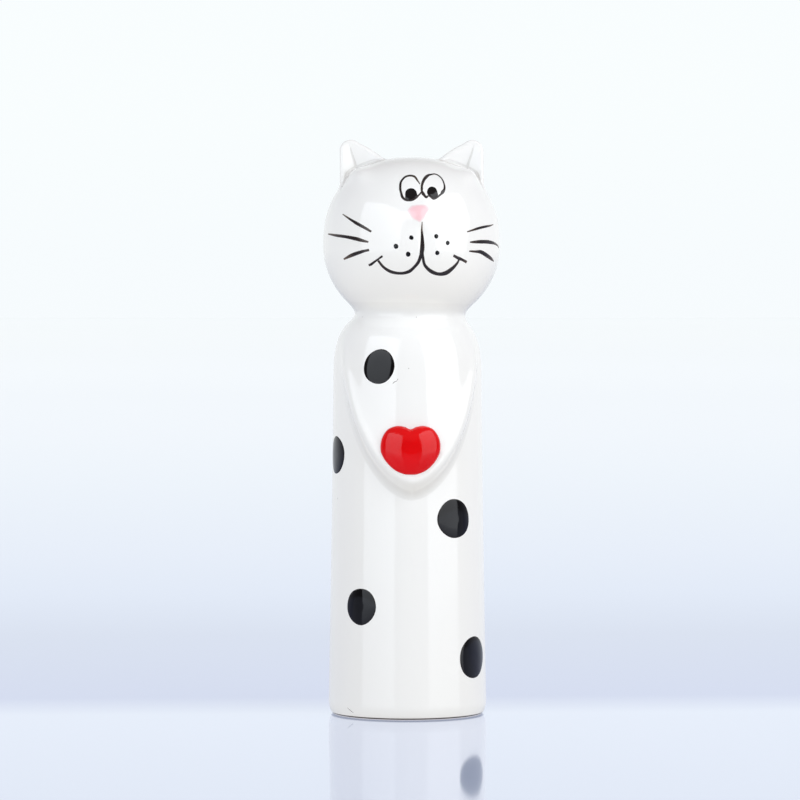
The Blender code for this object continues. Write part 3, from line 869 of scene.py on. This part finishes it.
class Surface(Graph):
    """A node material in the making."""

    def __init__(self, name):
        self.material = bpy.data.materials.new(name)
        super().__init__(self.material)
        self.shader = self.nodes["Principled BSDF"]

    def place(self):
        return self.add("TexCoord").outputs["Object"]

    def texture(self, kind, output, **values):
        node = self.add(kind)
        set_inputs(node, **values)
        self.join(self.place(), node.inputs["Vector"])
        return node.outputs[output]

    def noise(self, scale, detail):
        return self.texture("TexNoise", "Fac", Scale=scale, Detail=detail)

    def cells(self, scale):
        """How far each place is from the middle of its cell."""
        return self.texture("TexVoronoi", "Distance", Scale=scale)

    def attribute(self, name):
        return self.add("Attribute", attribute_name=name).outputs["Fac"]

    def maths(self, operation, a, b):
        node = self.add("Math", operation=operation)
        for socket, value in zip(node.inputs, (a, b)):
            if isinstance(value, float):
                socket.default_value = value
            else:
                self.join(value, socket)
        return node.outputs[0]

    def bump(self, height, distance, strength, below=None):
        node = self.add("Bump")
        set_inputs(node, Distance=distance, Strength=strength)
        self.join(height, node.inputs["Height"])
        if below is not None:
            self.join(below, node.inputs["Normal"])
        return node.outputs["Normal"]

    def finish(self, colour, roughness, normal):
        self.join(colour, self.shader.inputs["Base Color"])
        self.join(roughness, self.shader.inputs["Roughness"])
        self.join(normal, self.shader.inputs["Normal"])
        return self.material


def white_glaze():
    """Clear glaze over pale clay: warm white, with painted shade that greys its hollows and creases, a
    painted contact shadow round the foot, and a few pinholes.
    """
    surface = Surface("white_glaze")
    bend = surface.attribute("bend")
    height = surface.split(surface.place())["Z"]
    tone = surface.mix(surface.noise(scale=28.0, detail=3.0), GLAZE_COOL, GLAZE_WARM)
    # Painted shade: hollows and creases are greyed by the bend.
    tone = surface.mix(surface.remap(bend, *HOLLOW_SHADE), tone, GLAZE_SHADED_HOLLOW)
    tone = surface.mix(surface.remap(bend, *THINNING), tone, GLAZE_THIN)
    pits = surface.remap(surface.cells(PIT_SCALE), *PIT_EDGE)
    rare = surface.remap(surface.noise(PIT_PATCHES, 0.0), *PIT_RARITY)
    tone = surface.mix(surface.maths("MULTIPLY", pits, rare), tone, GLAZE_PIT)
    # Painted contact shadow: a dark line round the bottom of the foot ring.
    tone = surface.mix(surface.remap(height, *FOOT_SHADOW_EDGE), tone, FOOT_CONTACT_SHADOW)
    bare = surface.remap(height, *BARE_EDGE)
    tone = surface.mix(bare, tone, BARE_CLAY)
    gloss = surface.remap(surface.noise(scale=60.0, detail=2.0), *NOISE_RANGE, *GLAZE_ROUGHNESS)
    rough = surface.maths("MAXIMUM", gloss, surface.maths("MULTIPLY", bare, BARE_ROUGHNESS))
    slow_runs = surface.bump(surface.noise(scale=45.0, detail=1.0), distance=0.00035, strength=0.35)
    grain = surface.noise(scale=420.0, detail=2.0)
    fine_skin = surface.bump(grain, distance=0.00002, strength=0.5, below=slow_runs)
    set_inputs(surface.shader, IOR=GLAZE_IOR, Specular_IOR_Level=0.5)
    return surface.finish(tone, rough, fine_skin)


def enamel(name, deep, light, thinned, smoothest, roughest, mirror):
    """A glossy colour: it varies in depth and turns to another tone where the brush left it thin."""
    surface = Surface(name)
    tone = surface.mix(surface.noise(scale=160.0, detail=3.0), deep, light)
    streaks = surface.noise(scale=900.0, detail=2.0)
    worn = surface.maths("MULTIPLY", surface.attribute("thin"), surface.remap(streaks, *STREAKS))
    tone = surface.mix(worn, tone, thinned)
    rough = surface.remap(surface.noise(scale=240.0, detail=2.0), *NOISE_RANGE, smoothest, roughest)
    slow_runs = surface.bump(surface.noise(scale=150.0, detail=1.0), distance=0.0001, strength=0.35)
    fine_skin = surface.bump(streaks, distance=0.00001, strength=0.4, below=slow_runs)
    set_inputs(surface.shader, IOR=GLAZE_IOR, Specular_IOR_Level=mirror)
    return surface.finish(tone, rough, fine_skin)


GLAZES = {"white": white_glaze(), **{key: enamel(*recipe) for key, recipe in ENAMELS.items()}}


# ---- heart and spots

# Half of the heart's outline, from the notch down to the point: across and up.
HEART_HALF = (
    (0.0, 6.1), (1.8, 6.8), (4.2, 7.05), (7.0, 6.0), (8.75, 3.2),
    (8.8, -0.2), (7.1, -3.3), (4.5, -5.8), (1.9, -6.95), (0.0, -7.1),
)
HEART_ANGLE = -1.0
HEART_Z = 78.8
HEART_THICKNESS = 2.8

# Spots: angle round the column from the front, height, half width, half height.
SPOTS = {
    "spot_chest": (-25.0, 103.0, 5.0, 5.2),
    "spot_left_side": (-73.5, 76.8, 5.7, 5.6),
    "spot_right_waist": (34.8, 58.5, 6.1, 5.9),
    "spot_left_hip": (-40.0, 32.8, 5.4, 5.6),
    "spot_right_foot": (54.3, 17.5, 6.8, 6.25),
    "spot_back_shoulder": (152.0, 97.0, 4.9, 5.4),
    "spot_back_left": (-141.0, 84.0, 5.3, 5.8),
    "spot_back_waist": (172.0, 61.0, 5.6, 5.8),
    "spot_back_right": (118.0, 43.0, 5.2, 5.7),
    "spot_back_foot": (-155.0, 27.0, 5.8, 5.9),
}
SPOT_THICKNESS = 0.24
SPOT_THIN_EDGE = 0.5


def make_heart():
    right = np.array(HEART_HALF)
    outline = np.concatenate([right, right[-2:0:-1] * (-1.0, 1.0)])
    outline = spline(outline, CURVE_STEPS, closed=True)
    section = lens(HEART_THICKNESS, rings=16, flatness=2.1, spread=0.6, sink=0.1)
    place = on_body(HEART_ANGLE, HEART_Z)
    piece = make_pad("enamelled_heart", outline, place, section, GLAZES["red"])
    stand_for(piece, "red_enamel", "heart")


def thin_edge(shares):
    return SPOT_THIN_EDGE * smooth_step(0.93, 1.0, shares)


def make_spots():
    for number, (name, (angle, height, half_width, half_height)) in enumerate(SPOTS.items()):
        outline = oval(0.0, 0.0, half_width, half_height, count=72, wobble=0.018, phase=1.7 * number)
        section = lens(SPOT_THICKNESS, rings=14, flatness=3.0, spread=0.5)
        place = on_body(angle, height)
        piece = make_pad("painted_" + name, outline, place, section, GLAZES["black"], thin=thin_edge)
        stand_for(piece, "black_enamel", name)


# ---- face

# All of the face is given across and up from the head's centre.
# Eyes: the dome's middle and half sizes, and the pupil's outline. The white fills the eye's line.
EYES = {
    "left": (
        (-2.45, 16.35, 3.0, 3.65),
        ((-4.25, 15.05), (-3.95, 15.65), (-3.3, 16.15), (-2.4, 16.35), (-1.45, 16.1), (-0.9, 15.4),
         (-0.65, 14.55), (-0.6, 14.0), (-1.3, 13.25), (-2.2, 12.75), (-3.25, 12.65), (-4.15, 12.7),
         (-4.4, 13.35), (-4.35, 14.15)),
    ),
    "right": (
        (4.1, 17.0, 3.45, 3.75),
        ((2.05, 15.15), (2.3, 16.0), (2.85, 16.6), (3.65, 16.85), (4.55, 16.6), (5.1, 15.9), (5.4, 14.9),
         (5.45, 14.2), (4.65, 13.5), (3.9, 13.15), (3.25, 13.65), (2.55, 14.15), (2.15, 14.55)),
    ),
}
EYE_DOME = 0.22
EYE_DOME_POWER = 0.8
# An eye's white on its dome: thickness, how far its edge sinks in, and the shares of the rings between.
EYE_WHITE = 0.02
EYE_WHITE_SINK = 0.06
EYE_WHITE_RINGS = (0.08, 0.96, 14)
NOSE = (
    (-0.95, 11.7), (1.4, 11.7), (2.5, 11.1), (3.0, 10.3), (2.15, 9.25), (1.3, 7.8), (0.35, 6.8), (-0.3, 6.05),
    (-1.3, 6.6), (-2.5, 7.1), (-3.1, 8.0), (-3.6, 9.05), (-4.0, 9.75), (-3.4, 10.75), (-2.7, 11.4),
)
DOTS = ((-2.9, 1.9), (-7.3, -0.6), (-3.8, -2.9), (4.4, 2.3), (7.8, 0.4), (4.7, -2.5))
DOT_RADIUS = 0.72
DOT_TALLER = 1.08
FACE_THICKNESS = 0.1
NOSE_THICKNESS = 0.12

# Brush strokes: how thin the colour is at the start and end, then points with the width there.
STROKES = {
    "eye_line_left": (0.35, 0.1, (
        (0.25, 17.55, 0.24), (-0.35, 18.55, 0.4), (-0.85, 19.5, 0.52), (-1.4, 19.95, 0.52),
        (-2.55, 20.1, 0.48), (-3.75, 19.75, 0.44), (-4.55, 19.05, 0.44), (-5.2, 18.15, 0.44),
        (-5.45, 17.05, 0.48), (-5.5, 15.85, 0.48), (-5.3, 14.75, 0.48), (-5.1, 13.85, 0.56),
        (-4.5, 13.1, 0.52), (-3.65, 12.75, 0.4), (-2.3, 12.85, 0.4), (-1.1, 13.55, 0.4), (-0.5, 14.15, 0.32),
        (0.05, 14.65, 0.32), (0.4, 15.15, 0.28),
    )),
    "eye_line_right": (0.1, 0.1, (
        (0.7, 16.05, 0.52), (0.8, 17.05, 0.48), (1.15, 18.05, 0.56), (1.65, 18.95, 0.64), (2.35, 19.7, 0.71),
        (3.1, 20.25, 0.6), (4.05, 20.5, 0.4), (4.95, 20.65, 0.32), (5.95, 20.3, 0.3), (6.8, 19.5, 0.3),
        (7.35, 18.3, 0.36), (7.55, 16.9, 0.44), (7.3, 15.9, 0.6), (6.75, 15.2, 0.72), (6.25, 14.65, 0.42),
        (5.65, 14.15, 0.36), (4.85, 13.55, 0.36), (3.95, 13.2, 0.36), (3.25, 13.7, 0.28), (2.55, 14.1, 0.26),
        (1.85, 13.75, 0.52), (1.4, 14.15, 0.56), (1.0, 14.75, 0.75), (0.7, 15.45, 0.52), (0.7, 16.05, 0.52),
    )),
    "philtrum": (0.9, 0.0, (
        (0.3, 6.5, 0.22), (0.2, 4.1, 0.5), (0.3, 1.9, 0.9), (0.3, -0.8, 1.25), (0.1, -2.8, 1.15),
        (0.0, -4.1, 0.7),
    )),
    "smile_left": (0.0, 0.1, (
        (0.0, -2.6, 0.8), (-0.65, -4.9, 0.95), (-1.8, -6.5, 0.85), (-3.4, -7.9, 0.9), (-5.7, -8.4, 0.75),
        (-8.3, -8.0, 0.8), (-10.5, -6.7, 0.75), (-12.2, -4.7, 0.6),
    )),
    "smile_right": (0.0, 0.1, (
        (0.3, -2.6, 0.8), (0.8, -5.2, 0.75), (1.5, -6.5, 0.85), (3.2, -7.9, 1.05), (5.4, -8.6, 0.95),
        (7.6, -8.25, 1.15), (9.5, -6.9, 0.95), (10.8, -5.5, 0.7), (11.4, -4.4, 0.5),
    )),
    "cheek_left": (0.3, 0.1, (
        (-14.7, -6.0, 0.65), (-14.1, -5.8, 0.7), (-12.6, -4.6, 0.55), (-11.0, -3.4, 0.6),
    )),
    "cheek_right": (0.1, 0.5, (
        (9.6, -3.2, 0.7), (11.0, -3.9, 0.85), (12.6, -4.5, 0.75), (13.8, -5.1, 0.8),
    )),
    "whisker_left_1": (1.0, 0.3, (
        (-21.6, 9.0, 0.25), (-20.2, 7.8, 0.5), (-18.3, 6.4, 0.85), (-16.1, 5.0, 0.75), (-14.1, 3.7, 0.55),
    )),
    "whisker_left_2": (0.6, 0.4, (
        (-25.3, 3.3, 0.45), (-23.4, 2.8, 0.7), (-20.8, 2.3, 0.9), (-18.3, 1.7, 1.05), (-16.4, 1.1, 0.8),
        (-14.9, 0.7, 0.4),
    )),
    "whisker_left_3": (0.8, 0.2, (
        (-21.4, -4.2, 0.5), (-19.4, -3.1, 0.95), (-17.6, -2.4, 1.0), (-16.0, -1.9, 0.75), (-14.7, -1.6, 0.6),
    )),
    "whisker_right_1": (0.6, 1.0, (
        (13.9, 3.7, 0.3), (15.9, 4.3, 0.6), (17.9, 4.9, 0.7), (20.2, 5.4, 0.65), (21.7, 5.7, 0.5),
        (22.9, 6.1, 0.25),
    )),
    "whisker_right_2": (0.3, 0.8, (
        (14.8, 0.7, 0.4), (16.5, 0.8, 0.75), (18.6, 0.9, 1.05), (20.9, 0.9, 1.05), (23.0, 0.6, 0.75),
        (24.5, 0.0, 0.45), (25.1, -0.7, 0.3),
    )),
    "whisker_right_3": (0.4, 0.6, (
        (14.6, -1.9, 0.4), (16.6, -2.0, 0.7), (18.4, -2.1, 1.05), (20.2, -2.9, 1.1), (21.8, -3.8, 0.95),
        (23.1, -4.7, 0.4),
    )),
}
STROKE_HEIGHT = 0.08
STROKE_BOLDER = 1.2
EYE_LINE_BOLDER = 1.55
STROKE_UNEVEN = 0.04
STROKE_STEPS = 10


def eye_bulge(side):
    """How far an eye's dome stands out of the head, as a function of the place."""
    across, up, half_width, half_height = EYES[side][0]

    def bulge(x, z):
        share = ((x - across) / half_width) ** 2 + ((z - up) / half_height) ** 2
        return EYE_DOME * positive(1.0 - share) ** EYE_DOME_POWER

    return bulge


def make_eye(side):
    line = np.array(STROKES["eye_line_" + side][2])[:, :2]
    bulge = eye_bulge(side)
    section = [(share, EYE_WHITE) for share in np.linspace(*EYE_WHITE_RINGS)] + [(1.0, -EYE_WHITE_SINK)]
    white = spline(line[:-1], EYE_WHITE_STEPS, closed=True)
    piece = make_pad("domed_eye_" + side, white, on_face, section, GLAZES["white"], bulge)
    stand_for(piece, "white_glaze", "eye_white_" + side)
    section = lens(FACE_THICKNESS, rings=8, flatness=4.0, spread=0.5, sink=0.03)
    pupil = spline(EYES[side][1], CURVE_STEPS, closed=True)
    piece = make_pad("painted_pupil_" + side, pupil, on_face, section, GLAZES["black"], bulge)
    stand_for(piece, "black_enamel", "pupil_" + side)


def faded(shares):
    return smooth_step(0.7, 1.0, shares)


def make_nose():
    outline = spline(NOSE, CURVE_STEPS, closed=True)
    section = lens(NOSE_THICKNESS, rings=12, spread=0.6)
    piece = make_pad("painted_nose", outline, on_face, section, GLAZES["pink"], thin=faded)
    stand_for(piece, "pink_enamel", "nose")


def make_strokes():
    dice = np.random.default_rng(7)
    for name, (thin_start, thin_end, points) in STROKES.items():
        curve = spline(points, STROKE_STEPS)
        steps = np.linspace(0.0, 1.0, len(curve))
        phase = dice.uniform(0.0, FULL_TURN, 3)
        uneven = sum(np.sin((9.0 + 8.0 * k) * steps + phase[k]) / (k + 1) for k in range(3))
        width = curve[:, 2] * (1.0 + STROKE_UNEVEN * uneven)
        ends = (thin_start, thin_end)
        if name.startswith("eye_line"):
            base = eye_bulge(name.split("_")[-1])
            width = width * EYE_LINE_BOLDER
        else:
            base = None
            width = width * STROKE_BOLDER
        piece = make_stroke("painted_" + name, curve[:, :2], width, on_face, STROKE_HEIGHT, ends, base)
        stand_for(piece, "black_enamel", name)


def make_dots():
    dice = np.random.default_rng(11)
    for number, (across, up) in enumerate(DOTS, 1):
        lean, phase, size = (dice.uniform(*limits) for limits in ((-0.5, 0.5), (0.0, FULL_TURN), (0.9, 1.1)))
        half_sizes = (DOT_RADIUS * size, DOT_RADIUS * DOT_TALLER * size)
        outline = oval(across, up, *half_sizes, count=32, wobble=0.03, phase=phase, lean=lean)
        section = lens(FACE_THICKNESS, rings=7, flatness=3.0)
        piece = make_pad(f"painted_dot_{number}", outline, on_face, section, GLAZES["black"])
        stand_for(piece, "black_enamel", f"whisker_dot_{number}")


# ---- flaws of the glaze

# Iron specks and pinholes: angle round the column and height, or across and up from the head's centre, and
# half width and half height.
BODY_SPECKS = (
    (-2.2, 102.5, 0.22, 0.17), (-69.7, 64.0, 0.24, 0.24), (-59.3, 117.4, 0.26, 0.2), (6.1, 117.4, 0.22, 0.2),
    (141.0, 52.0, 0.25, 0.2), (-128.0, 108.0, 0.2, 0.24),
)
HEAD_SPECKS = ((-21.0, 17.3, 0.2, 0.2),)
FLAW_THICKNESS = 0.02
# Scratches that took up dirt: angle round the column, height, and points across and up with the width there.
SCRATCHES = (
    (-11.4, 98.7, ((-1.0, -0.65, 0.1), (-0.4, -0.1, 0.2), (0.1, 0.05, 0.1), (0.6, 0.8, 0.16))),
    (-50.0, 2.2, ((-0.8, 0.7, 0.08), (0.1, 0.2, 0.15), (1.0, -0.4, 0.18), (1.5, -0.6, 0.08))),
)


def make_flaws():
    section = lens(FLAW_THICKNESS, rings=3, sink=FLAW_THICKNESS)
    places = [(on_body(angle, height), 0.0, 0.0, size) for angle, height, *size in BODY_SPECKS]
    places += [(on_face, across, up, size) for across, up, *size in HEAD_SPECKS]
    for number, (place, across, up, size) in enumerate(places, 1):
        outline = oval(across, up, *size, count=16, wobble=0.08, phase=1.3 * number)
        piece = make_pad(f"speck_{number}", outline, place, section, GLAZES["brushed"], thin=np.ones_like)
        stand_for(piece, "white_glaze")
    for number, (angle, height, points) in enumerate(SCRATCHES, 1):
        curve = spline(points, CURVE_STEPS)
        place = on_body(angle, height)
        piece = make_stroke(f"scratch_{number}", curve[:, :2], curve[:, 2], place, FLAW_THICKNESS, (1.0, 1.0))
        stand_for(piece, "white_glaze")


# ---- floor, light and camera

CAMERA_AZIMUTH = radians(-3.0)
CAMERA_DISTANCE = 1140.0
CAMERA_HEIGHT = 118.0
CAMERA_SHIFT = -3.41
CAMERA_SEES_Z = 92.8
CAMERA_LENS = 173.0
CAMERA_SENSOR = 36.0
CAMERA_CLIP = 0.05

# Soft boxes: azimuth and elevation from the camera's direction, width, height, distance, power and colour.
SOFT_BOXES = {
    "left": (-43.7, 17.5, 695.0, 700.0, 700.0, 3.86, (0.86, 0.925, 1.0)),
    "right": (55.5, 22.5, 729.0, 825.0, 700.0, 5.3, (0.918, 0.957, 1.0)),
}
# How bright a box's lower edge is next to its upper edge.
BOX_DIM_LEVEL = 0.55
LIT_Z = 95.0
# Painted light of the sheet: its glow stands in for how it is lit, by how far back it lies, in metres from
# the figurine's axis: a bright strip under it, a darker band behind it as painted shade, and then the
# backdrop's own light.
FLOOR_PAINTED_LIGHT = (
    (0.00, (0.225, 0.253, 0.325)),
    (0.05, (0.090, 0.115, 0.235)),
    (0.28, (0.085, 0.112, 0.205)),
    (0.49, (0.117, 0.149, 0.238)),
    (0.76, (0.124, 0.150, 0.227)),
    (1.71, (0.113, 0.133, 0.177)),
    (2.67, (0.108, 0.118, 0.150)),
    (4.60, (0.092, 0.099, 0.121)),
    (10.5, (0.114, 0.119, 0.128)),
    (22.7, (0.148, 0.154, 0.156)),
    (57.0, (0.135, 0.141, 0.144)),
    (113.0, (0.095, 0.100, 0.103)),
)
# A distance's place on the ramp is the distance over itself plus this.
FLOOR_HALFWAY = 1.0
FLOOR_TONES = ((0.144, 0.166, 0.234), (0.146, 0.169, 0.237))
FLOOR_REACH = 200000.0
FLOOR_Z = -0.05
# Light of the room by where it comes from: over the sheet's far edge, from behind, from the camera's side,
# from the sides, from above and from below.
WORLD_FRONT = (0.12, 0.12, 0.12)
WORLD_HORIZON = (0.927, 0.967, 0.989)
WORLD_BACK = (0.945, 0.985, 0.993)
WORLD_SIDE = (0.50, 0.52, 0.61)
WORLD_ABOVE = (0.38, 0.347, 0.337)
WORLD_BELOW = (0.80, 0.78, 0.76)


def make_floor():
    """A glossy pale sheet under the figurine, which runs into the background far away, and glows with painted
    light and shade by how far back it lies.
    """
    surface = Surface("floor")
    tone = surface.mix(surface.noise(scale=3.0, detail=2.0), *FLOOR_TONES)
    back = surface.maths("MAXIMUM", surface.split(surface.place())["Y"], 0.0)
    far = surface.maths("DIVIDE", back, surface.maths("ADD", back, FLOOR_HALFWAY))
    ramp = surface.add("ValToRGB")
    while len(ramp.color_ramp.elements) < len(FLOOR_PAINTED_LIGHT):
        ramp.color_ramp.elements.new(0.5)
    for stop, (distance, colour) in zip(ramp.color_ramp.elements, FLOOR_PAINTED_LIGHT):
        stop.position = distance / (distance + FLOOR_HALFWAY)
        stop.color = (*colour, 1.0)
    surface.join(far, ramp.inputs["Fac"])
    # Painted light: the sheet's glow stands in for its lighting, with a painted shade band behind the
    # figurine.
    surface.join(ramp.outputs["Color"], surface.shader.inputs["Emission Color"])
    surface.join(tone, surface.shader.inputs["Base Color"])
    set_inputs(surface.shader, Emission_Strength=1.0, IOR=1.5, Roughness=0.065)
    corners = [(x * FLOOR_REACH, y * FLOOR_REACH, FLOOR_Z) for x, y in ((-1, -1), (1, -1), (1, 1), (-1, 1))]
    floor = new_piece("floor", corners, [(0, 1, 2, 3)], surface.material)
    floor.visible_diffuse = False
    floor.visible_shadow = False


def aim(thing, place, target):
    thing.location = Vector(place) * MM
    thing.rotation_euler = (Vector(target) - Vector(place)).to_track_quat("-Z", "Y").to_euler()


def shade_lamp(lamp):
    """Dims a soft box towards its lower edge, where the cloth is furthest from the flash."""
    graph = Graph(lamp)
    height = graph.split(graph.add("NewGeometry").outputs["Parametric"])["Y"]
    strength = graph.remap(height, 0.0, 1.0, BOX_DIM_LEVEL)
    graph.join(strength, graph.nodes["Emission"].inputs["Strength"])


def make_lights():
    for name, (azimuth, elevation, width, height, distance, power, colour) in SOFT_BOXES.items():
        angle = radians(azimuth) + CAMERA_AZIMUTH
        rise = radians(elevation)
        out = np.array([sin(angle) * cos(rise), -cos(angle) * cos(rise), sin(rise)])
        target = np.array([BODY_X, AXIS_Y, LIT_Z])
        lamp = bpy.data.lights.new("soft_box_" + name, "AREA")
        lamp.shape = "RECTANGLE"
        lamp.size = width * MM
        lamp.size_y = height * MM
        lamp.energy = power
        lamp.color = colour
        shade_lamp(lamp)
        box = new_object("soft_box_" + name, lamp)
        box.visible_camera = False
        aim(box, target + out * distance, target)


def make_world():
    """Bright behind the figurine, dark on the camera's side of the room, and bright below, off the sheet."""
    world = bpy.data.worlds.new("studio")
    graph = Graph(world)
    way = graph.split(graph.add("TexCoord").outputs["Generated"])

    def blend(axis, low, high, a, b):
        return graph.mix(graph.remap(way[axis], low, high, shape="SMOOTHSTEP"), a, b)

    backdrop = blend("Z", 0.0, 0.06, WORLD_HORIZON, WORLD_BACK)
    sides = blend("Y", -0.2, 0.5, WORLD_FRONT, WORLD_SIDE)
    level = blend("Y", 0.4, 0.9, sides, backdrop)
    upper = blend("Z", 0.25, 0.75, level, WORLD_ABOVE)
    whole = blend("Z", -0.25, -0.05, WORLD_BELOW, upper)
    graph.join(whole, graph.nodes["Background"].inputs["Color"])
    bpy.context.scene.world = world


def make_camera():
    out, side = heading(CAMERA_AZIMUTH)
    middle = np.array([0.0, AXIS_Y, 0.0]) + side * CAMERA_SHIFT
    place = middle + out * CAMERA_DISTANCE + np.array([0.0, 0.0, CAMERA_HEIGHT])
    optics = bpy.data.cameras.new("camera")
    optics.lens = CAMERA_LENS
    optics.sensor_width = CAMERA_SENSOR
    optics.clip_start = CAMERA_CLIP
    camera = new_object("camera", optics)
    aim(camera, place, middle + np.array([0.0, 0.0, CAMERA_SEES_Z]))
    bpy.context.scene.camera = camera


make_clay()
make_heart()
make_spots()
for eye in EYES:
    make_eye(eye)
make_nose()
make_strokes()
make_dots()
make_flaws()
make_floor()
make_lights()
make_world()
make_camera()
bpy.context.scene.view_settings.view_transform = "Standard"
